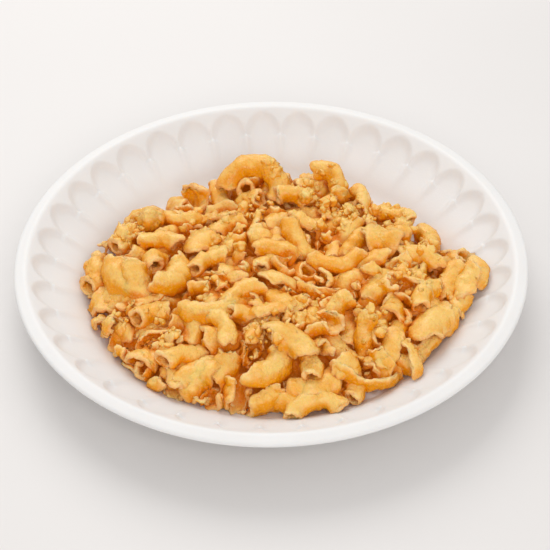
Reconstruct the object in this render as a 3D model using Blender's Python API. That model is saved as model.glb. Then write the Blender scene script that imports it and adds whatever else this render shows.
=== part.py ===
"""Mac and cheese on its fluted foam plate.

Two pieces: a pressed foam plate with thirty-six scooped flutes round its wall, and the
heap of cheesy elbow macaroni that lies in it, as one lumpy solid out to its uneven edge.
The origin is at the middle of the plate's flat base. Lengths are in metres, +Z is up, and
the long side of the heap lies along X.
"""

import math

import bmesh
import bpy
import numpy as np
from mathutils import Matrix, Vector

# The plate's profile.
FLOOR_RADIUS = 0.078
CREST_RADIUS = 0.1067
FLOOR_TOP = 0.0022
WALL_RISE = 0.0224
LIP_SLOPE = 0.17
CREST_ROUND = 0.0012
FOAM = 0.0022
FLOOR_FILLET = 0.004

# The flutes pressed into the plate's wall.
FLUTES = 36
FIRST_RIDGE = math.radians(3.05)
FLUTE_DEPTH = 0.0017
FLUTE_OUTER_END = 0.1046
FLUTE_INNER_END = 0.082
FLUTE_FULL_DEPTH = 0.098
RIDGE_HALF_WIDTH = 0.0014
FLUTE_SIDE = 0.003
COLUMNS_PER_FLUTE = 4

# The rings of points across the plate's top, out to its edge, and back underneath it.
TOP_RINGS = (0.074, 0.078, 0.082, 0.089, 0.096, 0.100, 0.1028, 0.1047, 0.1061, 0.1075, 0.112)
UNDER_RINGS = (0.1115, 0.107, 0.1035, 0.098, 0.091, 0.084, 0.078, 0.072)
PLATE_SHARP_EDGE = math.radians(50)

# The heap: its edge on the plate, anticlockwise from the right end, and its rise.
HEAP_EDGE = (
    (0.095, -0.004), (0.085, 0.016), (0.072, 0.034), (0.050, 0.050), (0.026, 0.063),
    (-0.002, 0.070), (-0.024, 0.061), (-0.044, 0.052), (-0.071, 0.034), (-0.087, 0.008),
    (-0.081, -0.022), (-0.064, -0.051), (-0.037, -0.072), (-0.006, -0.079),
    (0.022, -0.079), (0.050, -0.066), (0.070, -0.048), (0.087, -0.026),
)
HEAP_MIDDLE = Vector((0.002, -0.008))
HEAP_DEPTH = 0.0235
HEAP_GAP = 0.0005
SHOULDER = 2.6
SHOULDER_ROUNDING = 0.55
BODY_COLUMNS = 72
BODY_RINGS = (0.15, 0.3, 0.45, 0.6, 0.72, 0.82, 0.9, 0.96, 1.0)
# Rises and dips on top of the heap: x, y, height and spread.
MOUNDS = (
    (-0.006, 0.050, 0.0050, 0.014),
    (0.024, 0.048, 0.0085, 0.013),
    (0.044, 0.038, 0.0045, 0.012),
    (-0.060, 0.026, 0.0045, 0.013),
    (0.052, -0.012, 0.0045, 0.022),
    (0.006, -0.044, 0.0040, 0.020),
    (-0.055, -0.004, 0.0035, 0.020),
    (-0.020, 0.004, -0.0030, 0.018),
    (0.024, -0.014, -0.0020, 0.010),
)

# The macaroni that show as lumps on the heap.
MACARONI_RADIUS = 0.0041
ELBOW_RADIUS = 0.0085
ELBOW_SWEEP = math.radians(110)
BEAD_STEP = 0.0048
ELBOWS = 165
ELBOW_SEED = 11
ELBOW_LIFT = (-0.0026, 0.0009)
ELBOW_TILT = (-0.5, 0.5)
GOLDEN_ANGLE = math.pi * (3 - math.sqrt(5))
# The two elbows that stand up as arches at the back: x, y, top and radius.
ARCHES = ((-0.0045, 0.0555, 0.0355, 0.0095), (0.025, 0.052, 0.0345, 0.0065))
ARCH_SWEEP = math.radians(200)
# How far an arc's own centre lies behind its middle, as a share of its radius.
ARC_SETBACK = 0.7

VOXEL = 0.0017
HEAP_FACES_KEPT = 0.09
CUTTER_COLUMNS = 48
CUTTER_RINGS = (0.074, 0.078, 0.082, 0.088, 0.096, 0.104)


def clear_scene():
    for thing in list(bpy.data.objects):
        bpy.data.objects.remove(thing, do_unlink=True)


def principled(name, colour, roughness):
    material = bpy.data.materials.new(name)
    material.use_nodes = True
    shader = material.node_tree.nodes["Principled BSDF"]
    shader.inputs["Base Color"].default_value = (*colour, 1.0)
    shader.inputs["Roughness"].default_value = roughness
    shader.inputs["Metallic"].default_value = 0.0
    return material


def add_object(name, mesh, material=None):
    thing = bpy.data.objects.new(name, mesh)
    bpy.context.scene.collection.objects.link(thing)
    if material:
        mesh.materials.append(material)
    return thing


def smoothstep(value):
    value = min(max(value, 0.0), 1.0)
    return value * value * (3 - 2 * value)


def wall_height(radius):
    """Height of the plate's upper face with no flutes: floor, fillet, straight wall and lip."""
    slope = WALL_RISE / (CREST_RADIUS - FLOOR_RADIUS)
    if radius < FLOOR_RADIUS + FLOOR_FILLET:
        along = max(0.0, radius - FLOOR_RADIUS + FLOOR_FILLET) / (2 * FLOOR_FILLET)
        return FLOOR_TOP + slope * FLOOR_FILLET * along**2
    wall = FLOOR_TOP + slope * (radius - FLOOR_RADIUS)
    lip = FLOOR_TOP + WALL_RISE - LIP_SLOPE * (radius - CREST_RADIUS)
    near = max(0.0, CREST_ROUND - abs(wall - lip))
    return min(wall, lip) - near**2 / (4 * CREST_ROUND)


def flute_depth(radius, angle):
    """How far a flute is pressed down here: a scoop with straight sides and a round outer end."""
    pitch = 2 * math.pi / FLUTES
    across = ((angle - FIRST_RIDGE) % pitch - pitch / 2) * radius
    end_width = pitch / 2 * FLUTE_OUTER_END - RIDGE_HALF_WIDTH
    end_centre = FLUTE_OUTER_END - end_width
    if radius > end_centre:
        inside = end_width - math.hypot(across, radius - end_centre)
    else:
        inside = pitch / 2 * radius - RIDGE_HALF_WIDTH - abs(across)
    along = (radius - FLUTE_INNER_END) / (FLUTE_FULL_DEPTH - FLUTE_INNER_END)
    return FLUTE_DEPTH * smoothstep(along) * smoothstep(inside / FLUTE_SIDE)


def under_height(radius, angle):
    """The underside: one thickness of foam below the upper face, and flat across the base."""
    step = 0.0005
    slope = (wall_height(radius) - wall_height(radius - step)) / step
    thickness = FOAM * math.hypot(1.0, slope)
    return max(0.0, wall_height(radius) - flute_depth(radius, angle) - thickness)


def turned_mesh(name, stations, columns, first_angle):
    """A closed body round Z, from (radius, height function) stations between two end points."""
    shape = bmesh.new()
    rings = []
    for radius, height in stations:
        ring = []
        for column in range(columns):
            angle = first_angle + 2 * math.pi * column / columns
            place = (radius * math.sin(angle), radius * math.cos(angle), height(radius, angle))
            ring.append(shape.verts.new(place))
        rings.append(ring)
    for inner, outer in zip(rings, rings[1:]):
        for column in range(columns):
            after = (column + 1) % columns
            shape.faces.new((inner[column], inner[after], outer[after], outer[column]))
    for ring in (rings[0], rings[-1]):
        hub = shape.verts.new((0.0, 0.0, ring[0].co.z))
        for column in range(columns):
            shape.faces.new((hub, ring[column], ring[(column + 1) % columns]))
    bmesh.ops.recalc_face_normals(shape, faces=shape.faces)
    mesh = bpy.data.meshes.new(name)
    shape.to_mesh(mesh)
    shape.free()
    return mesh


def make_plate():
    def upper(radius, angle):
        return wall_height(radius) - flute_depth(radius, angle)

    stations = [(radius, upper) for radius in TOP_RINGS]
    stations += [(radius, under_height) for radius in UNDER_RINGS]
    mesh = turned_mesh("plate", stations, FLUTES * COLUMNS_PER_FLUTE, FIRST_RIDGE)
    mesh.shade_smooth()
    mesh.set_sharp_from_angle(angle=PLATE_SHARP_EDGE)
    foam = principled("white foam", (0.90, 0.89, 0.87), 0.55)
    return add_object("plate", mesh, foam)


def edge_distance(angle):
    """How far the heap's edge is from its middle in this direction, eased between the edge points."""
    bearings = []
    for x, y in HEAP_EDGE:
        offset = Vector((x, y)) - HEAP_MIDDLE
        bearings.append((math.atan2(offset.y, offset.x) % (2 * math.pi), offset.length))
    bearings.sort()
    before, after = bearings[-1], bearings[0]
    turn = 2 * math.pi
    low, high = before[0] - turn, after[0]
    for first, second in zip(bearings, bearings[1:]):
        if first[0] <= angle < second[0]:
            before, after, low, high = first, second, first[0], second[0]
    if angle >= bearings[-1][0]:
        low, high = bearings[-1][0], bearings[0][0] + turn
    share = smoothstep((angle - low) / (high - low))
    return before[1] * (1 - share) + after[1] * share


def heap_height(x, y):
    """Top of the heap's body at this place, and how far out it is, from 0 to 1 at the edge."""
    offset = Vector((x, y)) - HEAP_MIDDLE
    angle = math.atan2(offset.y, offset.x) % (2 * math.pi)
    outward = offset.length / edge_distance(angle)
    if outward >= 1:
        return wall_height(math.hypot(x, y)), outward
    rise = HEAP_DEPTH * (1 - outward**SHOULDER) ** SHOULDER_ROUNDING
    for mound_x, mound_y, height, spread in MOUNDS:
        away = math.hypot(x - mound_x, y - mound_y) / spread
        rise += height * math.exp(-away * away) * (1 - outward**6)
    return wall_height(math.hypot(x, y)) * outward**4 + FLOOR_TOP * (1 - outward**4) + rise, outward


def add_bead(shape, place, radius):
    bmesh.ops.create_icosphere(
        shape, subdivisions=2, radius=radius, matrix=Matrix.Translation(place)
    )


def add_elbow(shape, centre, along, bend, radius, sweep):
    """An elbow as a row of beads on an arc; along and bend are the arc's own directions."""
    beads = math.ceil(radius * sweep / BEAD_STEP) + 1
    for bead in range(beads):
        turn = sweep * (bead / (beads - 1) - 0.5)
        place = centre + radius * (along * math.sin(turn) + bend * (math.cos(turn) - ARC_SETBACK))
        add_bead(shape, place, MACARONI_RADIUS)


def add_body(shape):
    """The heap's body: a dome of rings from its middle out to its edge, closed underneath."""
    rings = []
    for fraction in BODY_RINGS:
        ring = []
        for column in range(BODY_COLUMNS):
            angle = 2 * math.pi * column / BODY_COLUMNS
            reach = (edge_distance(angle) - MACARONI_RADIUS / 2) * fraction
            x = HEAP_MIDDLE.x + reach * math.cos(angle)
            y = HEAP_MIDDLE.y + reach * math.sin(angle)
            top = heap_height(x, y)[0] - MACARONI_RADIUS
            ring.append((shape.verts.new((x, y, max(top, FLOOR_TOP / 2))), shape.verts.new((x, y, 0))))
        rings.append(ring)
    for side in (0, 1):
        middle = rings[0][0][side].co.z
        hub = shape.verts.new((HEAP_MIDDLE.x, HEAP_MIDDLE.y, middle))
        for column in range(BODY_COLUMNS):
            after = (column + 1) % BODY_COLUMNS
            shape.faces.new((hub, rings[0][column][side], rings[0][after][side]))
            for inner, outer in zip(rings, rings[1:]):
                corners = (inner[column], inner[after], outer[after], outer[column])
                shape.faces.new([pair[side] for pair in corners])
    last = rings[-1]
    for column in range(BODY_COLUMNS):
        after = (column + 1) % BODY_COLUMNS
        shape.faces.new((last[column][0], last[after][0], last[after][1], last[column][1]))
    bmesh.ops.recalc_face_normals(shape, faces=shape.faces)


def add_elbows(shape):
    """Elbows lying every way over the body, evenly spread on a sunflower spiral."""
    draw = np.random.default_rng(ELBOW_SEED)
    for number in range(ELBOWS):
        angle = (number * GOLDEN_ANGLE) % (2 * math.pi)
        reach = (edge_distance(angle) - MACARONI_RADIUS) * math.sqrt((number + 0.5) / ELBOWS)
        x = HEAP_MIDDLE.x + reach * math.cos(angle)
        y = HEAP_MIDDLE.y + reach * math.sin(angle)
        lift = draw.uniform(*ELBOW_LIFT)
        heading = draw.uniform(0, 2 * math.pi)
        tilt = draw.uniform(*ELBOW_TILT)
        floor = wall_height(math.hypot(x, y)) + MACARONI_RADIUS
        height = max(heap_height(x, y)[0] - MACARONI_RADIUS + lift, floor)
        along = Vector((math.cos(heading), math.sin(heading), math.sin(tilt))).normalized()
        bend = along.cross(Vector((0, 0, 1))).normalized()
        add_elbow(shape, Vector((x, y, height)), along, bend, ELBOW_RADIUS, ELBOW_SWEEP)
    for x, y, top, radius in ARCHES:
        centre = Vector((x, y, top - MACARONI_RADIUS - (1 - ARC_SETBACK) * radius))
        add_elbow(shape, centre, Vector((1, 0, 0)), Vector((0, 0, 1)), radius, ARCH_SWEEP)


def make_plate_cutter():
    """Everything below the heap's underside, which keeps one gap above the plate."""
    stations = [(radius, lambda r, a: wall_height(r) + HEAP_GAP) for radius in CUTTER_RINGS]
    stations.append((CUTTER_RINGS[-1], lambda r, a: -0.02))
    cutter = add_object("heap_cutter", turned_mesh("heap_cutter", stations, CUTTER_COLUMNS, 0.0))
    cutter.hide_render = True
    cutter.display_type = "WIRE"
    return cutter


def make_heap():
    shape = bmesh.new()
    add_body(shape)
    add_elbows(shape)
    mesh = bpy.data.meshes.new("pasta_heap")
    shape.to_mesh(mesh)
    shape.free()
    pasta = principled("cheese sauce on macaroni", (0.83, 0.50, 0.15), 0.42)
    heap = add_object("pasta_heap", mesh, pasta)
    remesh = heap.modifiers.new("one skin", "REMESH")
    remesh.mode = "VOXEL"
    remesh.voxel_size = VOXEL
    fewer = heap.modifiers.new("fewer faces", "DECIMATE")
    fewer.ratio = HEAP_FACES_KEPT
    cut = heap.modifiers.new("underside", "BOOLEAN")
    cut.operation = "DIFFERENCE"
    cut.solver = "EXACT"
    cut.object = make_plate_cutter()
    return heap


clear_scene()
make_plate()
make_heap()
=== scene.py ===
"""Looks of the mac and cheese on its fluted foam plate.

The plate is pressed from the same profile as the frame's plate, with finer flutes. The
heap is made of separate macaroni over a smaller core of sauce: listed pieces first,
then fill, which all settle against each other before sauce fillets join them. Shapes are
worked out in millimetres and turned into metres when a mesh is made.
"""

import math

import bmesh
import bpy
import numpy as np
from mathutils import Matrix, Vector
from mathutils.bvhtree import BVHTree


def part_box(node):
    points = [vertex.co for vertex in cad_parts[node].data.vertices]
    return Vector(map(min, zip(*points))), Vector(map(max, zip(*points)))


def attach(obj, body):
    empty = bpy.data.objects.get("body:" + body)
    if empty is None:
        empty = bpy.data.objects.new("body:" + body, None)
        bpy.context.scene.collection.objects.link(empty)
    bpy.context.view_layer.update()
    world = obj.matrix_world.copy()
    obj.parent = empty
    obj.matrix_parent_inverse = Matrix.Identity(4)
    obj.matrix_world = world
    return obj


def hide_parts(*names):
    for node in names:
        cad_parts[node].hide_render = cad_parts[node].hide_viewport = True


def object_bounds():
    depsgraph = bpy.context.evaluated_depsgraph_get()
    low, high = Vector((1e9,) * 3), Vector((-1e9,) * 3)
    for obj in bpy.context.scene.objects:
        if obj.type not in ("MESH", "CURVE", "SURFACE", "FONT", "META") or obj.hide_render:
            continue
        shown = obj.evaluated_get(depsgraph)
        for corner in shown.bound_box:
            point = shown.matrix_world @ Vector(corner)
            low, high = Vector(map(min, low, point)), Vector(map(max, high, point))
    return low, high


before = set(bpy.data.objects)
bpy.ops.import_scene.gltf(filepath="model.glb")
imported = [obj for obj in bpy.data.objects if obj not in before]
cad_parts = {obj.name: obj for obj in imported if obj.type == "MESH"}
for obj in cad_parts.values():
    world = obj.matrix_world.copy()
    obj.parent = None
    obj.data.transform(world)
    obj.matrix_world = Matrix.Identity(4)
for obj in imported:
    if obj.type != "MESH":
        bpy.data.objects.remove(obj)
CAD_LOW, CAD_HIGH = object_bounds()

MM = 0.001
SEED = 20

# The plate, in millimetres.
PLATE_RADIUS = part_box("plate")[1].x / MM
FLOOR_RADIUS = 78.0
CREST_RADIUS = 106.7
FLOOR_TOP = 2.2
WALL_RISE = 22.4
LIP_SLOPE = 0.17
CREST_ROUND = 1.2
FLOOR_FILLET = 4.0
FOAM = 2.2
FLUTES = 36
FIRST_RIDGE = math.radians(3.05)
FLUTE_DEPTH = 2.5
FLUTE_OUTER_END = 104.6
FLUTE_INNER_END = 83.0
FLUTE_FULL_DEPTH = 101.0
RIDGE_HALF_WIDTH = 0.45
FLUTE_SIDE = 3.6
FLUTE_EDGE_POWER = 2.4
COLUMNS_PER_FLUTE = 24
FLOOR_RINGS = (20, 45, 62, 70)
FLUTED_FROM = 73
FLUTED_RING_STEP = 0.55
LIP_RINGS = 7
UNDER_RINGS = (66, 45, 20)
UNDER_RING_STEP = 1.3

# The macaroni, in millimetres.
WALL = 2.1
TUBE_RADIUS = 3.05
RIM_WIDTH = 1.6
FILLET = 1.7
HIGHEST = CAD_HIGH.z / MM - 0.3
# Uneven surfaces: wavelength and share of each wave, for a piece's body and its cut ends.
DENTS = ((11.0, 1.0), (5.0, 0.35), (2.6, 0.4))
FRAYS = ((5.0, 1.0), (2.2, 0.5))
DENT_WAVES = 8
# In radians: the least span of a whole tube, and a little over one turn.
WHOLE_SPAN = 6.2
TURN = 6.3


def waves(points, wavelength, seed, count=14):
    """Smooth noise about zero with unit spread: a sum of plane waves in seeded directions."""
    draw = np.random.default_rng(seed)
    heading = draw.normal(size=(count, 3))
    heading /= np.linalg.norm(heading, axis=1)[:, None]
    beat = heading * (2 * math.pi / wavelength * draw.uniform(0.7, 1.4, (count, 1)))
    phase = draw.uniform(0, 2 * math.pi, count)
    return np.cos(points @ beat.T + phase).sum(axis=1) * math.sqrt(2 / count)


def ease(value):
    value = np.clip(value, 0.0, 1.0)
    return value * value * (3 - 2 * value)


def add_mesh(name, points, faces, values=None):
    """A smooth-shaded mesh from points in millimetres, with named values on its points."""
    mesh = bpy.data.meshes.new(name)
    mesh.from_pydata((np.asarray(points) * MM).tolist(), [], [list(face) for face in faces])
    mesh.shade_smooth()
    for label, value in (values or {}).items():
        layer = mesh.attributes.new(label, "FLOAT", "POINT")
        layer.data.foreach_set("value", np.asarray(value, np.float32))
    thing = bpy.data.objects.new(name, mesh)
    bpy.context.scene.collection.objects.link(thing)
    return thing


def shell_faces(rings, columns, flip=False):
    """Quads between closed rings of points, and a fan from a hub to each end ring.

    The two hubs come after the rings' points. flip turns the faces the other way."""
    row = np.arange(rings - 1)[:, None] * columns
    column = np.arange(columns)
    after = (column + 1) % columns
    if flip:
        column, after = after, column
    quads = np.stack(
        [row + column, row + columns + column, row + columns + after, row + after], 2
    )
    hub = rings * columns
    last = hub - columns
    faces = quads.reshape(-1, 4).tolist()
    faces += [(hub, int(i), int(j)) for i, j in zip(column, after)]
    faces += [(hub + 1, last + int(j), last + int(i)) for i, j in zip(column, after)]
    return faces


# ---------------------------------------------------------------- camera, light, floor

CAMERA_TARGET = Vector((1.7, 10.4, 0.0)) * MM
CAMERA_DISTANCE = 672.3 * MM
CAMERA_ELEVATION = math.radians(42.37)
CAMERA_ROLL = 0.011
CAMERA_LENS = 96.9


def make_camera():
    camera = bpy.data.objects.new("camera", bpy.data.cameras.new("camera"))
    bpy.context.scene.collection.objects.link(camera)
    bpy.context.scene.camera = camera
    camera.data.lens = CAMERA_LENS
    camera.data.sensor_width = 36.0
    camera.data.clip_start = 0.01
    back = Vector((0, -math.cos(CAMERA_ELEVATION), math.sin(CAMERA_ELEVATION)))
    camera.location = CAMERA_TARGET + back * CAMERA_DISTANCE
    turned = (-back).to_track_quat("-Z", "Y").to_matrix().to_4x4()
    camera.rotation_euler = (turned @ Matrix.Rotation(-CAMERA_ROLL, 4, "Z")).to_euler()


# Soft lamps aimed at the plate: name, place in metres, breadth, watts and colour.
LAMPS = (
    ("window", (-0.2, 0.85, 0.9), 1.0, 7.1, (1.0, 0.99, 0.97)),
    ("card", (0.2, -1.1, 0.9), 1.0, 6.6, (1.0, 0.98, 0.96)),
)
SKY_COLOUR = (1.0, 0.99, 0.98, 1.0)
SKY_STRENGTH = 0.69


def area_light(name, place, size, watts, colour):
    light = bpy.data.lights.new(name, "AREA")
    light.shape = "DISK"
    light.size = size
    light.energy = watts
    light.color = colour
    lamp = bpy.data.objects.new(name, light)
    bpy.context.scene.collection.objects.link(lamp)
    lamp.location = place
    lamp.rotation_euler = (-Vector(place)).to_track_quat("-Z", "Y").to_euler()


def make_light():
    for lamp in LAMPS:
        area_light(*lamp)
    world = bpy.data.worlds.new("studio")
    bpy.context.scene.world = world
    world.use_nodes = True
    sky = world.node_tree.nodes["Background"]
    sky.inputs["Color"].default_value = SKY_COLOUR
    sky.inputs["Strength"].default_value = SKY_STRENGTH
    bpy.context.scene.view_settings.view_transform = "Standard"


# ---------------------------------------------------------------- shader helpers


class Value:
    """A shader socket that arithmetic works on: each operator adds one Math node."""

    def __init__(self, finish, socket):
        self.finish = finish
        self.socket = socket

    def math(self, operation, *values):
        inputs = dict(enumerate(values))
        return self.finish.node("ShaderNodeMath", {"operation": operation}, inputs)

    def __add__(self, other):
        return self.math("ADD", self, other)

    __radd__ = __add__

    def __sub__(self, other):
        return self.math("SUBTRACT", self, other)

    def __rsub__(self, other):
        return self.math("SUBTRACT", other, self)

    def __mul__(self, other):
        return self.math("MULTIPLY", self, other)

    __rmul__ = __mul__

    def ramp(self, low, high):
        """0 at low, 1 at high, eased between."""
        inputs = {"Value": self, "From Min": low, "From Max": high}
        return self.finish.node("ShaderNodeMapRange", {"interpolation_type": "SMOOTHSTEP"}, inputs)


class Finish:
    """A Principled material, with one method that adds any other node to it."""

    def __init__(self, name, fixed=None):
        self.material = bpy.data.materials.new(name)
        self.material.use_nodes = True
        self.tree = self.material.node_tree
        self.shader = self.tree.nodes["Principled BSDF"]
        for socket, value in (fixed or {}).items():
            self.shader.inputs[socket].default_value = value

    def node(self, kind, settings=None, inputs=None, output=0):
        made = self.tree.nodes.new(kind)
        for name, value in (settings or {}).items():
            setattr(made, name, value)
        for name, value in (inputs or {}).items():
            self.feed(made.inputs[name], value)
        return Value(self, made.outputs[output])

    def feed(self, socket, value):
        if isinstance(value, Value):
            self.tree.links.new(value.socket, socket)
        else:
            socket.default_value = value

    def point(self):
        return self.node("ShaderNodeTexCoord", output="Object")

    def noise(self, scale, detail=2.0, roughness=0.5):
        inputs = {"Vector": self.point(), "Scale": scale, "Detail": detail, "Roughness": roughness}
        return self.node("ShaderNodeTexNoise", {}, inputs)

    def attribute(self, name):
        return self.node("ShaderNodeAttribute", {"attribute_name": name}, output="Fac")

    def mix(self, share, first, second):
        inputs = {0: share, 6: first, 7: second}
        return self.node("ShaderNodeMix", {"data_type": "RGBA"}, inputs, output=2)

    def colour(self, value):
        self.feed(self.shader.inputs["Base Color"], value)

    def roughness(self, value):
        self.feed(self.shader.inputs["Roughness"], value)

    def bump(self, height, distance, strength):
        inputs = {"Height": height, "Distance": distance, "Strength": strength}
        return self.node("ShaderNodeBump", {}, inputs)

    def normal(self, value):
        self.feed(self.shader.inputs["Normal"], value)


def rgb(red, green, blue):
    return (red, green, blue, 1.0)


FOAM_SHADE = rgb(0.76, 0.752, 0.745)
FOAM_WHITE = rgb(0.80, 0.793, 0.787)
TABLE_SHADE = rgb(0.71, 0.69, 0.68)
TABLE_WHITE = rgb(0.75, 0.73, 0.72)
# Sauce colours. Cream turns to gold partly at random and partly as painted shade on faces that turn from up;
# the third is painted deep shade between pieces, and the last is the colour of a painted glow in that shade.
CREAM = rgb(0.93, 0.59, 0.16)
GOLD = rgb(0.89, 0.345, 0.0)
PAINTED_SHADE_SAUCE = rgb(0.72, 0.175, 0.0)
PALE_CHEESE = rgb(0.97, 0.77, 0.44)
NO_GLOW = rgb(0.0, 0.0, 0.0)
PAINTED_GLOW_ORANGE = rgb(1.0, 0.3, 0.0)


def foam_finish():
    """White pressed foam: a satin skin over fine beads."""
    fixed = {
        "Subsurface Weight": 0.35,
        "Subsurface Radius": (1.0, 0.9, 0.8),
        "Subsurface Scale": 0.003,
        "Specular IOR Level": 0.35,
    }
    finish = Finish("white foam", fixed)
    cloud = finish.noise(60.0, 3.0)
    finish.colour(finish.mix(cloud, FOAM_SHADE, FOAM_WHITE))
    beads = finish.node(
        "ShaderNodeTexVoronoi",
        {"feature": "SMOOTH_F1"},
        {"Vector": finish.point(), "Scale": 1100.0},
    )
    finish.roughness(finish.noise(400.0, 2.0) * 0.15 + 0.42)
    finish.normal(finish.bump(beads, 0.00006, 0.5))
    return finish.material


def pasta_finish():
    """Cheese sauce on cooked pasta, cream to gold, paler at cut rims, with shade painted in.

    The gold comes partly from random patches and each piece's tint and partly from painted shade on faces
    that turn from straight up. It reads three values on a mesh's points: rim, near 1 along a cut edge;
    painted_shade, near 1 deep between pieces and inside tubes, where deep orange shade and a faint orange
    glow are painted; and tint, the piece's own leaning to gold."""
    fixed = {
        "Subsurface Weight": 0.3,
        "Subsurface Radius": (1.0, 0.5, 0.15),
        "Subsurface Scale": 0.001,
        "Specular IOR Level": 0.1,
        "Coat Roughness": 0.2,
        "Emission Strength": 0.05,
    }
    finish = Finish("cheese sauce on macaroni", fixed)
    patches = finish.noise(130.0, 3.0, 0.6).ramp(0.35, 0.65)
    normal = finish.node("ShaderNodeNewGeometry", output="Normal")
    upward = finish.node("ShaderNodeSeparateXYZ", {}, {0: normal}, output=2)
    # Painted shade by facing: faces that turn from straight up are painted towards gold, and tops are left
    # pale cream as if lit.
    shade = upward.ramp(0.95, -0.15)
    share = patches * 0.25 + finish.attribute("tint") * 0.2 + shade * 0.8
    body = finish.mix(share.ramp(0.0, 0.72), CREAM, GOLD)
    # Painted shade: deep orange between pieces and inside tubes.
    painted_shade = finish.attribute("painted_shade").ramp(0.12, 0.85)
    body = finish.mix(painted_shade * 0.78, body, PAINTED_SHADE_SAUCE)
    grains = finish.noise(900.0, 2.0, 0.6).ramp(0.52, 0.68)
    body = finish.mix(grains * 0.16, body, PALE_CHEESE)
    body = finish.mix(finish.attribute("rim") * (1.0 - painted_shade) * 0.42, body, PALE_CHEESE)
    finish.colour(body)
    # A faint orange painted glow, strongest in the painted shade between pieces and a little on faces that
    # turn from up, as if light came through the sauce.
    painted_glow = finish.mix(painted_shade * 0.8 + shade * 0.2, NO_GLOW, PAINTED_GLOW_ORANGE)
    finish.feed(finish.shader.inputs["Emission Color"], painted_glow)
    finish.feed(finish.shader.inputs["Coat Weight"], (1.0 - painted_shade) * 0.45)
    finish.roughness(finish.noise(300.0, 3.0) * 0.3 + 0.3)
    lumps = finish.noise(620.0, 3.0, 0.6)
    fine = finish.noise(1500.0, 2.0, 0.6)
    curds = finish.node(
        "ShaderNodeTexVoronoi",
        {"feature": "SMOOTH_F1"},
        {"Vector": finish.point(), "Scale": 700.0, "Smoothness": 0.6},
    )
    grainy = curds * finish.noise(90.0, 2.0).ramp(0.42, 0.62)
    finish.normal(finish.bump(lumps + fine * 0.4 - grainy * 0.8, 0.0012, 0.75))
    return finish.material


def table_finish():
    finish = Finish("pale table")
    cloud = finish.noise(8.0, 2.0)
    finish.colour(finish.mix(cloud, TABLE_SHADE, TABLE_WHITE))
    finish.roughness(cloud * 0.1 + 0.45)
    return finish.material


TABLE_HALF = 2500.0
TABLE_DROP = 0.05


def make_floor():
    corners = [(-1, -1), (1, -1), (1, 1), (-1, 1)]
    spots = [(x * TABLE_HALF, y * TABLE_HALF, -TABLE_DROP) for x, y in corners]
    floor = add_mesh("floor", spots, [(0, 1, 2, 3)])
    floor.data.materials.append(table_finish())


# ---------------------------------------------------------------- plate


def wall_height(radius):
    """Height of the plate's upper face with no flutes: floor, fillet, straight wall and lip."""
    radius = np.asarray(radius, float)
    slope = WALL_RISE / (CREST_RADIUS - FLOOR_RADIUS)
    along = np.clip(radius - FLOOR_RADIUS + FLOOR_FILLET, 0, None) / (2 * FLOOR_FILLET)
    fillet = FLOOR_TOP + slope * FLOOR_FILLET * along**2
    wall = FLOOR_TOP + slope * (radius - FLOOR_RADIUS)
    lip = FLOOR_TOP + WALL_RISE - LIP_SLOPE * (radius - CREST_RADIUS)
    near = np.clip(CREST_ROUND - np.abs(wall - lip), 0, None)
    crest = np.minimum(wall, lip) - near**2 / (4 * CREST_ROUND)
    return np.where(radius < FLOOR_RADIUS + FLOOR_FILLET, fillet, crest)


def flute_depth(radius, angle):
    """How far a flute is pressed down here: a scoop with crisp ridges and a round outer end."""
    pitch = 2 * math.pi / FLUTES
    across = ((angle - FIRST_RIDGE) % pitch - pitch / 2) * radius
    end_width = pitch / 2 * FLUTE_OUTER_END - RIDGE_HALF_WIDTH
    end_centre = FLUTE_OUTER_END - end_width
    straight = pitch / 2 * radius - RIDGE_HALF_WIDTH - np.abs(across)
    inside = np.where(
        radius > end_centre, end_width - np.hypot(across, radius - end_centre), straight
    )
    along = (radius - FLUTE_INNER_END) / (FLUTE_FULL_DEPTH - FLUTE_INNER_END)
    edge = 1 - np.clip(inside / FLUTE_SIDE, 0, 1)
    return FLUTE_DEPTH * ease(along) * (1 - edge**FLUTE_EDGE_POWER)


def make_plate():
    """One closed shell: rings out over the top, round the lip and back in underneath."""
    columns = FLUTES * COLUMNS_PER_FLUTE
    lip = PLATE_RADIUS + FOAM / 2 * (np.sin(np.linspace(0, math.pi, LIP_RINGS)) - 1)
    fluted = np.arange(FLUTED_FROM, PLATE_RADIUS - FOAM / 2 - 0.2, FLUTED_RING_STEP)
    top = np.concatenate([FLOOR_RINGS, fluted])
    under = np.arange(PLATE_RADIUS - FOAM, FLUTED_FROM - 1, -UNDER_RING_STEP)
    under = np.concatenate([under, UNDER_RINGS])
    radii = np.concatenate([top, lip, under])
    angle = FIRST_RIDGE + 2 * math.pi * np.arange(columns) / columns
    radius = radii[:, None] + 0 * angle
    upper = wall_height(radius) - flute_depth(radius, angle)
    slope = (wall_height(radius) - wall_height(radius - 0.5)) / 0.5
    lower = np.maximum(upper - FOAM * np.hypot(1, slope), 0)
    share = np.zeros(len(radii))
    share[len(top):len(top) + len(lip)] = (1 - np.cos(np.linspace(0, math.pi, len(lip)))) / 2
    share[len(top) + len(lip):] = 1
    height = upper + share[:, None] * (lower - upper)
    points = np.stack([radius * np.sin(angle), radius * np.cos(angle), height], 2).reshape(-1, 3)
    hubs = [(0, 0, FLOOR_TOP), (0, 0, 0)]
    faces = shell_faces(len(radii), columns, flip=True)
    plate = add_mesh("plate_foam", np.concatenate([points, hubs]), faces)
    plate.data.materials.append(foam_finish())
    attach(plate, "root")
    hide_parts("plate")


# ---------------------------------------------------------------- the heap's envelope

GRID_STEP = 2.0
GRID_HALF = 100.0
SMOOTHINGS = 4
CORE_DEPTH = 10.5


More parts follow.
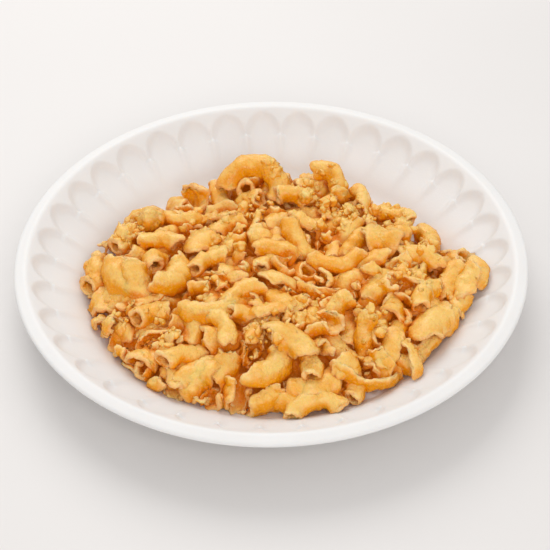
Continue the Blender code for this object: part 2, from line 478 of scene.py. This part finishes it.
def heap_envelope():
    """The top of the frame's heap and its cover, 1 inside its outline, smoothed on a grid."""
    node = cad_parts["pasta_heap"]
    tree = BVHTree.FromPolygons(
        [v.co for v in node.data.vertices], [p.vertices for p in node.data.polygons]
    )
    ticks = np.arange(-GRID_HALF, GRID_HALF + GRID_STEP, GRID_STEP)
    top = np.zeros((len(ticks), len(ticks)))
    for i, x in enumerate(ticks):
        for j, y in enumerate(ticks):
            hit = tree.ray_cast(Vector((x * MM, y * MM, 0.1)), Vector((0, 0, -1)))[0]
            top[i, j] = hit.z / MM if hit else 0.0
    x, y = np.meshgrid(ticks, ticks, indexing="ij")
    inside = (top > 0).astype(float)
    top = np.where(top > 0, top, wall_height(np.hypot(x, y)))
    for _ in range(SMOOTHINGS):
        for axis in (0, 1):
            top = (np.roll(top, 1, axis) + top + np.roll(top, -1, axis)) / 3
            inside = (np.roll(inside, 1, axis) + inside + np.roll(inside, -1, axis)) / 3
    return top, inside


ENVELOPE, COVER = heap_envelope()
COVER_SLOPE = [slope / (np.hypot(*np.gradient(COVER)) + 1e-3) for slope in np.gradient(COVER)]


def sample(grid, x, y):
    """The grid's value at these places, in millimetres, by straight interpolation."""
    limit = grid.shape[0] - 1.001
    across = np.clip((np.asarray(x, float) + GRID_HALF) / GRID_STEP, 0, limit)
    along = np.clip((np.asarray(y, float) + GRID_HALF) / GRID_STEP, 0, limit)
    i, j = across.astype(int), along.astype(int)
    a, b = across - i, along - j
    low = grid[i, j] * (1 - b) + grid[i, j + 1] * b
    high = grid[i + 1, j] * (1 - b) + grid[i + 1, j + 1] * b
    return low * (1 - a) + high * a


# ---------------------------------------------------------------- one macaroni


def spaced(length, edge, count):
    """Positions along a length with rows crowded at both ends, so that a thin edge can be round."""
    near = np.array([0.0, 0.07, 0.28, 0.62, 1.1]) * edge
    middle = np.linspace(near[-1], length - near[-1], count)[1:-1]
    return np.concatenate([near, middle, (length - near)[::-1]])


def macaroni(seed, length, radius=TUBE_RADIUS, bend=90, span=360, opening=180, wall=WALL,
             squash=0.92, slant=1.0, ragged=0.35, round_off=6.0, dent=0.35, rows=14, columns=22):
    """One piece of macaroni in its own frame: its length along X, its convex side towards +Y.

    A span of 360 is a whole tube. Less than that is a split one, and opening is the
    direction, round the tube, that its slit faces: 0 is the convex side and 90 is up.
    slant tips the cut ends, ragged frays them, round_off rounds a split one's corners (the
    less, the rounder) and dent is the depth of its dents."""
    draw = np.random.default_rng(seed)
    bend, span, opening = math.radians(bend), math.radians(span), math.radians(opening)
    half = wall / 2
    closed = span > WHOLE_SPAN
    along = spaced(length, half, rows)
    if closed:
        around = np.linspace(0, 2 * math.pi, columns, endpoint=False)
        width = np.zeros(columns)
    else:
        arc = spaced(span * radius, half, max(8, int(columns * span / TURN)))
        around = opening + (2 * math.pi - span) / 2 + arc / radius
        width = np.abs(2 * arc / arc[-1] - 1)
    shorten = 1 - 0.6 * (1 - (1 - width**round_off) ** (1 / round_off))
    notch = np.stack([np.cos(around), np.sin(around), 0 * around], 1) * radius
    ends = [slant * draw.normal() * np.cos(around - draw.uniform(0, TURN)) for _ in range(2)]
    ends = [
        end + ragged * sum(share * waves(notch, size, draw.integers(1e9)) for size, share in FRAYS)
        for end in ends
    ]
    u = along[:, None] / length
    span_of = length * shorten
    s = (u - 0.5) * span_of + ends[0] * (1 - u) ** 4 - ends[1] * u**4
    curve = length / max(bend, 0.05)
    a = s / curve
    out = radius * np.cos(around)
    up = squash * radius * np.sin(around)
    sag = curve * (1 - math.cos(bend / 2)) / 2
    x = (curve + out) * np.sin(a)
    y = (curve + out) * np.cos(a) - curve + sag
    grid = np.stack([x, y, up + 0 * a], 2)
    flat = grid.reshape(-1, 3)
    push = np.zeros_like(flat)
    for size, share in DENTS:
        sides = [waves(flat, size, draw.integers(1e9), DENT_WAVES) for _ in range(3)]
        push += share * np.stack(sides, 1)
    grid = grid + dent * push.reshape(grid.shape)
    across = np.roll(grid, -1, 1) - np.roll(grid, 1, 1) if closed else np.gradient(grid, axis=1)
    normal = np.cross(across, np.gradient(grid, axis=0))
    normal /= np.linalg.norm(normal, axis=2)[..., None] + 1e-9
    edge = np.minimum(along, length - along)[:, None] + 0 * around
    if not closed:
        edge = np.minimum(edge, np.minimum(arc, arc[-1] - arc))
    thick = half * np.sqrt(1 - np.clip(1 - edge / half, 0, 1) ** 2)
    uneven = waves(grid.reshape(-1, 3), 4.0, draw.integers(1e9)).reshape(edge.shape)
    thick = thick * (1 + 0.22 * uneven)
    outer = grid + normal * thick[..., None]
    inner = grid - normal * thick[..., None]
    return weld_sides(outer, inner, edge, closed)


def weld_sides(outer, inner, edge, closed):
    """Joins a piece's outer and inner faces along the edges that they share."""
    rows, columns = edge.shape
    number = np.arange(rows * columns).reshape(rows, columns)
    border = np.zeros((rows, columns), bool)
    border[[0, -1], :] = True
    if not closed:
        border[:, [0, -1]] = True
    back = number.copy()
    back[~border] = rows * columns + np.arange((~border).sum())
    points = np.concatenate([outer.reshape(-1, 3), inner[~border]])
    faces = []
    for sheet, flip in ((number, False), (back, True)):
        right = np.roll(sheet, -1, 1) if closed else sheet[:, 1:]
        left = sheet if closed else sheet[:, :-1]
        quad = np.stack([left[:-1], right[:-1], right[1:], left[1:]], 2).reshape(-1, 4)
        faces.append(quad[:, ::-1] if flip else quad)
    rim = np.clip(1 - edge / RIM_WIDTH, 0, 1)
    inside = np.concatenate([np.zeros(rows * columns), np.ones((~border).sum())])
    rim = np.concatenate([rim.ravel(), rim[~border]])
    middle = (outer + inner) / 2
    return {
        "points": points,
        "faces": np.concatenate(faces),
        "rim": rim,
        "inside": inside,
        "middle": middle,
        "closed": closed,
    }


# ---------------------------------------------------------------- the pile

# Each kind's own form, which a single piece's settings may change.
KINDS = {
    "elbow": {"span": 360},
    "split": {"radius": 4.6, "span": 250, "round_off": 4.0, "ragged": 0.65, "dent": 0.4, "wall": 2.2},
    "petal": {"radius": 6.4, "span": 170, "round_off": 2.6, "ragged": 0.6, "wall": 2.4, "dent": 0.4},
    "curl": {"radius": 4.5, "span": 90, "wall": 1.8, "round_off": 4.0, "ragged": 0.3, "rows": 24},
    "bit": {
        "radius": 3.4, "span": 300, "round_off": 4.0, "ragged": 0.7, "dent": 0.5, "rows": 7, "columns": 16
    },
}
KIND_NAMES = {
    "elbow": "whole_elbows",
    "split": "split_elbows",
    "petal": "opened_petals",
    "curl": "thin_curls",
    "bit": "broken_bits",
}


def turned(heading, pitch, roll):
    """A piece's rotation, in degrees: rolled about its length, pitched up, then headed round."""
    turns = ((heading, "Z"), (-pitch, "Y"), (roll, "X"))
    whole = Matrix.Identity(3)
    for angle, axis in turns:
        whole = whole @ Matrix.Rotation(math.radians(angle), 3, axis)
    return np.array(whole)


TUBE_BEADS = 8
SHEET_BEADS = 5


def beads_of(shape):
    """A few spheres that stand for a piece while it settles: centres and radii.

    A whole tube has a row of them along its middle, and a split piece a net over its wall."""
    middle = shape["middle"]
    rows, columns = middle.shape[:2]
    if shape["closed"]:
        picked = np.linspace(2, rows - 3, TUBE_BEADS).astype(int)
        centres = middle[picked].mean(axis=1)
        away = np.linalg.norm(middle[picked] - centres[:, None], axis=2).mean(axis=1)
        return centres, away + WALL * 0.45
    along, across = (np.linspace(2, n - 3, SHEET_BEADS).astype(int) for n in (rows, columns))
    centres = middle[np.ix_(along, across)].reshape(-1, 3)
    return centres, np.full(len(centres), WALL * 0.75)


# How the pile settles, in millimetres and shares of a push.
SETTLING_ROUNDS = 140
WEIGHT = 0.06
LOOK_AGAIN = 12
MOST_NEAR = 400
TOUCHING = 0.96
MOST_DEPTH = 2.5
PUSH_SHARE = 0.45
CORE_MARGIN = 1.0
ROOF_MARGIN = 2.5
INSIDE_COVER = 0.7
STRAY_PUSH = 3.0
MOST_TURN = 0.06
MOST_MOVE = 0.8
PULL_BACK = 0.2
PLATE_GAP = 0.12


class Pile:
    """Pieces of macaroni, each a rigid body that is pushed off its neighbours as it settles."""

    def __init__(self):
        self.draw = np.random.default_rng(SEED)
        self.shapes, self.kinds, self.held = [], [], []
        self.places, self.turns = [], []
        self.local, self.radii, self.owner = [], [], []

    def add(self, kind, place, turn, held, seed=None, **form):
        """One more piece; held, from 0 to 1, is how firmly it keeps the place it was given."""
        settings = {**KINDS[kind], **form}
        seed = len(self.shapes) + 500 if seed is None else seed
        shape = macaroni(seed, **settings)
        centres, radii = beads_of(shape)
        self.owner += [len(self.shapes)] * len(radii)
        self.local.append(centres)
        self.radii.append(radii)
        self.shapes.append(shape)
        self.kinds.append(kind)
        self.held.append(held)
        self.places.append(place)
        self.turns.append(turn)

    def beads(self):
        parts = [q @ turn.T + place for q, turn, place in zip(self.local, self.turns, self.places)]
        return np.concatenate(parts), np.concatenate(self.radii)

    def crowded(self, place, turn, shape):
        """How deep this new piece would sit in those that are there."""
        centres, radii = beads_of(shape)
        mine = centres @ turn.T + place
        theirs, sizes = self.beads()
        gap = np.linalg.norm(mine[:, None] - theirs[None], axis=2) - radii[:, None] - sizes[None]
        return -gap.min()

    def settle(self):
        """Pushes pieces apart, off the plate and under the envelope, and draws them down a little."""
        owner = np.array(self.owner)
        count = len(self.shapes)
        sizes = np.concatenate(self.radii)
        local = np.concatenate(self.local)
        turns, places = np.array(self.turns), np.array(self.places, float)
        start = places.copy()
        held = np.array(self.held)[:, None]
        share = np.bincount(owner, minlength=count)[:, None]
        for step in range(SETTLING_ROUNDS):
            arm = np.einsum("nij,nj->ni", turns[owner], local)
            at = places[owner] + arm
            if step % LOOK_AGAIN == 0:
                first, second = self.near_pairs(at, sizes, owner)
            apart = at[first] - at[second]
            distance = np.linalg.norm(apart, axis=1) + 1e-6
            depth = (sizes[first] + sizes[second]) * TOUCHING - distance
            depth = np.clip(depth, 0, MOST_DEPTH)
            push = np.zeros_like(at)
            move = apart / distance[:, None] * depth[:, None] * PUSH_SHARE
            np.add.at(push, first, move)
            np.add.at(push, second, -move)
            envelope = sample(ENVELOPE, at[:, 0], at[:, 1])
            plate = wall_height(np.hypot(at[:, 0], at[:, 1]))
            floor = np.maximum(plate, envelope - CORE_DEPTH - CORE_MARGIN) + sizes
            push[:, 2] += np.clip(floor - at[:, 2], 0, 4) - WEIGHT
            roof = np.minimum(envelope + ROOF_MARGIN, HIGHEST) - sizes
            push[:, 2] -= np.clip(at[:, 2] - roof, 0, 3) * (1 - held[owner, 0])
            stray = np.clip(INSIDE_COVER - sample(COVER, at[:, 0], at[:, 1]), 0, 0.5) * STRAY_PUSH
            for axis, slope in enumerate(COVER_SLOPE):
                push[:, axis] += stray * sample(slope, at[:, 0], at[:, 1])
            moved = np.zeros((count, 3))
            np.add.at(moved, owner, push)
            moved /= np.maximum(share * 0.35, 1)
            twist = np.zeros((count, 3))
            np.add.at(twist, owner, np.cross(arm, push))
            inertia = np.bincount(owner, (arm**2).sum(axis=1), count)[:, None]
            twist = np.clip(twist / (inertia + 30.0), -MOST_TURN, MOST_TURN) * (1 - held)
            pull = held * PULL_BACK * (start - places)
            places += np.clip(moved, -MOST_MOVE, MOST_MOVE) * (1 - 0.9 * held) + pull
            turns = np.einsum("nij,njk->nik", rotations(twist), turns)
        self.turns, self.places = list(turns), list(places)

    @staticmethod
    def near_pairs(at, sizes, owner):
        """Pairs of beads of different pieces that are close enough to meet soon."""
        first, second = [], []
        order = np.argsort(at[:, 0])
        for i, bead in enumerate(order):
            later = order[i + 1:i + 1 + MOST_NEAR]
            later = later[at[later, 0] < at[bead, 0] + sizes[bead] + 7]
            near = np.linalg.norm(at[later] - at[bead], axis=1) < sizes[bead] + sizes[later] + 2.5
            near &= owner[later] != owner[bead]
            first.append(np.full(near.sum(), bead))
            second.append(later[near])
        return np.concatenate(first), np.concatenate(second)

    def meshes(self):
        """Each piece's points in place, with sauce fillets where it meets others, and its painted shade."""
        at, sizes = self.beads()
        owner = np.array(self.owner)
        made = []
        for index, shape in enumerate(self.shapes):
            turn, place = self.turns[index], self.places[index]
            points = shape["points"] @ turn.T + place
            middle = shape["middle"].reshape(-1, 3) @ turn.T + place
            outward = points[:len(middle)] - middle
            outward /= np.linalg.norm(outward, axis=1)[:, None] + 1e-6
            outward = np.concatenate([outward, np.zeros((len(points) - len(middle), 3))])
            reach = np.linalg.norm(points - place, axis=1).max() + 12
            near = (owner != index) & (np.linalg.norm(at - place, axis=1) < reach)
            apart = at[near][None] - points[:, None]
            distance = np.linalg.norm(apart, axis=2)
            gap = distance - sizes[near][None]
            closest = np.abs(gap).min(axis=1)
            fillet = np.clip(FILLET - closest, 0, None) ** 2 / (4 * FILLET)
            facing = (apart * outward[:, None]).sum(axis=2) / (distance + 1e-6)
            facing = np.where(shape["inside"][:, None] > 0, 0.35, np.clip(facing, 0, 1))
            crowd = (np.clip(1 - gap / 6, 0, 1) * facing).sum(axis=1) / 5
            points = points + outward * fillet[:, None]
            points[:, 2] = np.minimum(points[:, 2], HIGHEST)
            rest = wall_height(np.hypot(points[:, 0], points[:, 1])) + PLATE_GAP
            points[:, 2] = np.maximum(points[:, 2], rest)
            deep = sample(ENVELOPE, points[:, 0], points[:, 1]) - points[:, 2]
            # Painted shade: more where neighbours crowd a point and face it, and more deep below the heap's
            # top.
            made.append((points, np.clip(crowd + 0.6 * ease((deep - 4) / 9), 0, 1)))
        return made


def rotations(twist):
    """Rotation matrices for small turns about each vector."""
    angle = np.linalg.norm(twist, axis=1)[:, None, None]
    axis = twist[:, :, None] / (angle + 1e-9)
    x, y, z = axis[:, 0], axis[:, 1], axis[:, 2]
    nought = np.zeros_like(x)
    cross = np.stack([nought, -z, y, z, nought, -x, -y, x, nought], 2).reshape(-1, 3, 3)
    return np.eye(3) + np.sin(angle) * cross + (1 - np.cos(angle)) * (cross @ cross)


# The pieces that show, placed one by one: kind, place, (heading, pitch, roll) and own form.
PLACED = (
    ("elbow", (-7, 50, 23.5), (-8, 0, 58), {"length": 42, "bend": 200, "radius": 4.3, "rows": 26}),
    ("elbow", (1, 48, 19), (25, 12, 60), {"length": 17, "bend": 80}),
    ("elbow", (-22, 49, 16), (75, 55, 60), {"length": 15, "bend": 40}),
    ("elbow", (-10, 42, 17), (2, 0, 40), {"length": 15, "bend": 50}),
    ("petal", (-38, 46, 16), (-30, 0, 48), {"length": 17, "span": 240, "radius": 6.4, "opening": 90,
        "bend": 10, "round_off": 2.4, "wall": 3.0}),
    ("elbow", (-56, 30, 17), (-5, 0, 20), {"length": 24, "bend": 150}),
    ("elbow", (-41, 29, 17), (190, 0, 25), {"length": 19, "bend": 140}),
    ("elbow", (-66, 17, 17), (-95, -5, 0), {"length": 15, "bend": 50, "radius": 3.4}),
    ("elbow", (-78, -2, 14), (-110, 5, 0), {"length": 17, "bend": 90, "radius": 4.0}),
    ("petal", (-64, -10, 18), (112, 28, 0), {"length": 22, "radius": 5.4, "span": 200, "opening": -90}),
    ("petal", (-56, -14, 19), (115, 28, 10), {"length": 21, "radius": 4.8, "span": 200, "opening": -90}),
    ("elbow", (-43, -12, 20), (205, 0, -35), {"length": 24, "bend": 160, "radius": 4.3}),
    ("elbow", (-50, -32, 16), (12, 8, -40), {"length": 16, "bend": 50}),
    ("elbow", (-36, -38, 15), (-55, -15, 30), {"length": 17, "bend": 60}),
    ("bit", (-67, -36, 13), (30, 20, 0), {"length": 11}),
    ("split", (-62, -44, 10), (-20, 5, 0), {"length": 14, "opening": 80}),
    ("bit", (-49, -44, 14), (10, 0, 0), {"length": 10, "opening": 100}),
    ("petal", (-51, -55, 9), (20, -20, 0), {"length": 13, "radius": 6, "span": 190, "opening": -100}),
    ("elbow", (-37, -54, 12), (-28, -12, 0), {"length": 20, "bend": 40}),
    ("split", (-31, -63, 10), (15, -5, 20), {"length": 18, "opening": -80}),
    ("split", (-22, -72, 6), (35, 0, 0), {"length": 11, "radius": 4.2, "opening": 80}),
    ("split", (-27, -33, 21), (10, 0, 160), {"length": 22, "bend": 120, "opening": 200}),
    ("elbow", (-21, -44, 20), (-75, -10, 20), {"length": 20, "bend": 90}),
    ("elbow", (-10, -38, 20), (-5, -5, -20), {"length": 21, "bend": 110}),
    ("elbow", (-1, -62, 15), (200, 0, -35), {"length": 25, "bend": 150, "radius": 4.6}),
    ("petal", (7, -54, 20), (-40, -15, 0), {"length": 21, "radius": 5.6, "span": 200, "opening": -90}),
    ("elbow", (16, -60, 15), (-100, -10, 0), {"length": 18, "bend": 60}),
    ("petal", (22, -70, 9), (35, -25, 10), {"length": 18, "radius": 6.5, "span": 170, "opening": -90}),
    ("elbow", (32, -68, 10), (-70, 0, 0), {"length": 15, "bend": 60}),
    ("curl", (40, -64, 14), (-10, -5, 170), {"length": 26, "bend": 120}),
    ("curl", (54, -56, 11), (-60, -10, 60), {"length": 22, "bend": 150}),
    ("elbow", (41, -46, 15), (70, 35, 30), {"length": 21, "bend": 50}),
    ("petal", (69, -38, 13), (55, -20, 0), {"length": 23, "radius": 6.4, "span": 180, "opening": -95}),
    ("elbow", (80, -14, 17), (65, 20, 0), {"length": 22, "bend": 45}),
    ("petal", (87, -14, 16), (70, 15, 0), {"length": 19, "radius": 5.6, "span": 180, "opening": -110}),
    ("split", (58, -22, 20), (-20, 0, 20), {"length": 19, "opening": 100}),
    ("elbow", (66, -22, 18), (30, 0, 40), {"length": 19, "bend": 100}),
    ("elbow", (45, -24, 19), (5, 0, -30), {"length": 18, "bend": 60}),
    ("petal", (48, 6, 22), (15, 0, 40), {"length": 16, "radius": 7, "span": 150, "opening": -90, "bend": 30}),
    ("elbow", (37, 6, 22), (75, 20, 60), {"length": 14, "bend": 70}),
    ("elbow", (28, -5, 22), (0, 0, 180), {"length": 26, "bend": 120}),
    ("elbow", (12, 8, 24), (122, 52, 0), {"length": 21, "bend": 35, "radius": 3.4}),
    ("bit", (-6, 14, 21), (95, 50, 0), {"length": 9}),
    ("elbow", (3, 1, 21), (-25, 0, 60), {"length": 21, "bend": 90}),
    ("split", (20, -44, 22), (-10, 10, 0), {"length": 17, "opening": 80, "ragged": 0.9}),
    ("bit", (12, -34, 21), (40, 20, 0), {"length": 12}),
    ("elbow", (28, -33, 20), (60, 20, 30), {"length": 16, "bend": 80}),
    ("elbow", (-12, -26, 21), (35, 5, 30), {"length": 20, "bend": 60}),
    ("split", (-30, -16, 20), (-15, 0, 0), {"length": 18, "opening": 80}),
    ("elbow", (-28, -4, 20), (35, 0, -20), {"length": 20, "bend": 80}),
    ("elbow", (-18, 20, 20), (15, 0, 30), {"length": 19, "bend": 70}),
    ("petal", (-30, 8, 19), (60, -10, 0), {"length": 15, "radius": 6, "span": 160, "opening": -90}),
    ("elbow", (27, 50, 27), (-30, 0, 70), {"length": 20, "bend": 130}),
    ("elbow", (40, 40, 21), (-50, 5, 20), {"length": 20, "bend": 80}),
    ("elbow", (56, 28, 20), (-30, 0, 0), {"length": 18, "bend": 70}),
    ("elbow", (70, 16, 17), (-75, 5, 10), {"length": 19, "bend": 90}),
    ("elbow", (66, -2, 20), (-30, 5, 40), {"length": 18, "bend": 80}),
    ("elbow", (55, 12, 21), (20, 5, 30), {"length": 18, "bend": 80}),
    ("elbow", (10, 38, 22), (-15, 0, 40), {"length": 18, "bend": 80}),
    ("elbow", (-50, 12, 19), (-10, 0, 30), {"length": 19, "bend": 60}),
)
FILL = (("elbow", 0.38), ("split", 0.22), ("petal", 0.12), ("bit", 0.24), ("curl", 0.04))
# The layers of fill: how many pieces, how far down, and how deep they may start in others.
LAYERS = ((220, 4.0, 3.8), (170, 9.0, 4.8))
FILL_LENGTHS = {
    "elbow": (15, 25),
    "split": (13, 19),
    "petal": (12, 18),
    "bit": (6, 12),
    "curl": (16, 24),
}
HEAP_REACH = 100
CRUMBS = 250
CRUMB_REACH = 96
CRUMB_OVERLAP = 3.2
PLACED_HOLD = 0.75
GOLDEN_ANGLE = math.pi * (3 - math.sqrt(5))


def sunflower(number, count, reach, start):
    """The place of this one of count things that are spread evenly over a disc."""
    away = reach * math.sqrt((number + 0.5) / count)
    angle = number * GOLDEN_ANGLE + start
    return away * math.cos(angle), away * math.sin(angle)


def join_heap(thing, finish):
    """Gives one of the heap's pieces its finish, and puts it in place of the frame's heap."""
    thing.data.materials.append(finish)
    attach(thing, "root")
    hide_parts("pasta_heap")


def place_by_hand(pile):
    for kind, place, turn, form in PLACED:
        pile.add(kind, np.array(place, float), turned(*turn), PLACED_HOLD, **form)


def random_form(kind, draw):
    """A piece of the kind, as uneven in size as cooked and stirred macaroni is."""
    form = {"length": draw.uniform(*FILL_LENGTHS[kind]), "bend": draw.uniform(40, 125)}
    if kind == "elbow":
        form["radius"] = draw.uniform(2.9, 3.8)
        form["squash"] = draw.uniform(0.75, 0.95)
    if kind in ("bit", "split"):
        form["opening"] = draw.uniform(0, 360)
        form["bend"] = draw.uniform(20, 80)
    if kind == "petal":
        form["radius"] = draw.uniform(4.8, 6.5)
        form["span"] = draw.uniform(150, 210)
        form["opening"] = -90 + draw.uniform(-30, 30)
    return form


def fill_in(pile):
    """Fills the heap between and under the placed pieces, in layers from its top."""
    draw = pile.draw
    names = [name for name, _ in FILL]
    odds = [share for _, share in FILL]
    for count, deep, overlap in LAYERS:
        for number in range(count):
            x, y = sunflower(number, count, HEAP_REACH, deep)
            x += draw.normal() * 1.5
            y += draw.normal() * 1.5
            kind = str(draw.choice(names, p=odds))
            form = random_form(kind, draw)
            turn = turned(draw.uniform(0, 360), draw.normal() * 24, draw.uniform(-70, 70))
            seed = int(draw.integers(1e9))
            if sample(COVER, x, y) < (0.95 if kind == "curl" else 0.65):
                continue
            rest = wall_height(math.hypot(x, y)) + 3.5
            place = np.array([x, y, max(sample(ENVELOPE, x, y) - deep, rest)])
            shape = macaroni(seed, **{**KINDS[kind], **form})
            if pile.crowded(place, turn, shape) < overlap:
                pile.add(kind, place, turn, 0.0, seed=seed, **form)


def strew_crumbs(pile):
    """Short broken ends of macaroni over the top, which fall into the gaps."""
    draw = pile.draw
    for number in range(CRUMBS):
        x, y = sunflower(number, CRUMBS, CRUMB_REACH, 1.0)
        form = {"length": draw.uniform(4.5, 8), "radius": draw.uniform(2.4, 3.6)}
        form["opening"] = draw.uniform(0, 360)
        form["span"] = draw.uniform(150, 320)
        turn = turned(*draw.uniform(0, 360, 3))
        seed = int(draw.integers(1e9))
        if sample(COVER, x, y) < 0.7:
            continue
        place = np.array([x, y, sample(ENVELOPE, x, y) - 1.0])
        shape = macaroni(seed, **{**KINDS["bit"], **form})
        if pile.crowded(place, turn, shape) < CRUMB_OVERLAP:
            pile.add("bit", place, turn, 0.0, seed=seed, **form)


def make_pasta():
    pile = Pile()
    place_by_hand(pile)
    fill_in(pile)
    strew_crumbs(pile)
    pile.settle()
    made = pile.meshes()
    finish = pasta_finish()
    tints = pile.draw.uniform(0, 1, len(made))
    for kind, name in KIND_NAMES.items():
        points, faces, rim, painted_shade, tint, start = [], [], [], [], [], 0
        for index, (place, crowd) in enumerate(made):
            if pile.kinds[index] != kind:
                continue
            shape = pile.shapes[index]
            points.append(place)
            faces.append(shape["faces"] + start)
            rim.append(shape["rim"])
            painted_shade.append(crowd)
            tint.append(np.full(len(place), tints[index]))
            start += len(place)
        values = {"rim": np.concatenate(rim), "painted_shade": np.concatenate(painted_shade)}
        values["tint"] = np.concatenate(tint)
        thing = add_mesh(name, np.concatenate(points), np.concatenate(faces), values)
        join_heap(thing, finish)
    return pile, finish


# ---------------------------------------------------------------- the core of sauce

CORE_COLUMNS = 220
CORE_RINGS = 60
CORE_X, CORE_Y = 2, -8
CORE_LEAST_REACH = 30
CORE_MOST_REACH = 100
CORE_SETBACK = 8.5
PUDDLE = 0.7
# Wavelength, seed and height of each wave of the core's relief.
CORE_RELIEF = ((9.0, 61, 1.2), (4.0, 62, 0.5), (1.9, 63, 0.18))


def make_core(finish):
    """A smaller body of sauce and buried pasta under the pieces, with its own lumps."""
    angle = 2 * math.pi * np.arange(CORE_COLUMNS) / CORE_COLUMNS
    reach = np.arange(CORE_LEAST_REACH, CORE_MOST_REACH, 1.0)[:, None]
    cover = sample(COVER, CORE_X + reach * np.cos(angle), CORE_Y + reach * np.sin(angle))
    edge = CORE_LEAST_REACH + (cover > 0.5).sum(axis=0) - CORE_SETBACK
    edge = (np.roll(edge, 1) + edge + np.roll(edge, -1)) / 3
    share = np.linspace(0.02, 1, CORE_RINGS)[:, None]
    x = CORE_X + share * edge * np.cos(angle)
    y = CORE_Y + share * edge * np.sin(angle)
    rest = wall_height(np.hypot(x, y)) + 0.2
    spots = np.stack([x, y, 0 * x], 2).reshape(-1, 3)
    relief = sum(waves(spots, size, seed) * height for size, seed, height in CORE_RELIEF)
    top = sample(ENVELOPE, x, y) - CORE_DEPTH + relief.reshape(x.shape)
    top = rest + np.maximum(top - rest, PUDDLE) * np.sqrt(1 - share**8)
    points = np.concatenate([np.stack([x, y, top], 2), np.stack([x, y, rest - 0.1], 2)[::-1]])
    rings = len(points)
    points = points.reshape(-1, 3)
    hubs = [points[:CORE_COLUMNS].mean(axis=0), points[-CORE_COLUMNS:].mean(axis=0)]
    count = len(points) + 2
    # The core is coloured almost wholly with painted deep shade and painted glow, as it shows only down in
    # the gaps between pieces.
    values = {"rim": np.zeros(count), "painted_shade": np.full(count, 0.9), "tint": np.full(count, 0.8)}
    faces = shell_faces(rings, CORE_COLUMNS)
    join_heap(add_mesh("sauce_core", np.concatenate([points, hubs]), faces, values), finish)


# ---------------------------------------------------------------- curds

LUMPS_COLUMN = 3
GRAINS_COLUMN = 4
# Where the cheese has set in curds: x, y, spread, how many lumps and how many grains.
CURDS = (
    (3, 53, 4, 7, 16), (22, 42, 8, 12, 33), (-26, 26, 9, 9, 33), (26, 24, 10, 10, 33),
    (50, 20, 12, 12, 44), (62, -14, 11, 11, 38), (14, -36, 9, 10, 33), (-48, -36, 4, 4, 13),
    (-44, -46, 5, 4, 13), (0, -48, 8, 7, 27), (-20, 8, 8, 6, 22), (70, 6, 8, 5, 22),
    (-30, -24, 8, 4, 19), (36, 34, 8, 7, 27), (-60, 26, 7, 4, 19), (38, -52, 8, 4, 16),
    (-64, -34, 5, 4, 16), (-8, 30, 8, 5, 22), (44, -36, 6, 4, 16), (-66, 14, 5, 3, 13),
)


def top_of_pile(at, sizes, x, y):
    """Height of the pile's own beads at this place, or None beside them."""
    flat = np.hypot(at[:, 0] - x, at[:, 1] - y)
    over = flat < sizes * 0.95
    if not over.any():
        return None
    return (at[over, 2] + np.sqrt(sizes[over] ** 2 - flat[over] ** 2)).max()


def strew_curds(pile, finish, name, column, subdivisions, size, relief):
    """Curds of one size, in clusters: balls with lumps on them, half sunk in what they lie on.

    column is where CURDS has the number of them. Their undersides get painted shade."""
    at, sizes = pile.beads()
    draw = pile.draw
    ball = bmesh.new()
    bmesh.ops.create_icosphere(ball, subdivisions=subdivisions, radius=1.0)
    unit = np.array([corner.co for corner in ball.verts])
    skin = np.array([[corner.index for corner in face.verts] for face in ball.faces])
    ball.free()
    points, faces, painted_shade = [], [], []
    for cluster in CURDS:
        for _ in range(cluster[column]):
            x, y = np.array(cluster[:2]) + cluster[2] * 0.6 * draw.normal(size=2)
            top = top_of_pile(at, sizes, x, y)
            if top is None:
                continue
            breadth = size * math.exp(draw.normal() * 0.35)
            curd = unit * breadth * draw.uniform(0.75, 1.35, 3)
            curd *= (1 + relief * waves(curd, size * 1.3, int(draw.integers(1e9)), 8))[:, None]
            curd = curd @ turned(*draw.uniform(0, 360, 3)).T
            # Painted shade on each curd's underside.
            painted_shade.append(0.6 * np.clip(0.35 - curd[:, 2] / breadth, 0, 1))
            curd += np.array([x, y, top - breadth * draw.uniform(0.2, 0.8)])
            curd[:, 2] = np.minimum(curd[:, 2], HIGHEST)
            faces.append(skin + len(unit) * len(points))
            points.append(curd)
    points = np.concatenate(points)
    values = {"rim": np.full(len(points), 0.1), "painted_shade": np.concatenate(painted_shade)}
    values["tint"] = np.full(len(points), 0.3)
    join_heap(add_mesh(name, points, np.concatenate(faces), values), finish)


def main():
    make_camera()
    make_light()
    make_floor()
    make_plate()
    pile, finish = make_pasta()
    make_core(finish)
    strew_curds(pile, finish, "cheese_lumps", LUMPS_COLUMN, subdivisions=3, size=2.1, relief=0.15)
    strew_curds(pile, finish, "cheese_grains", GRAINS_COLUMN, subdivisions=2, size=0.95, relief=0.25)


main()
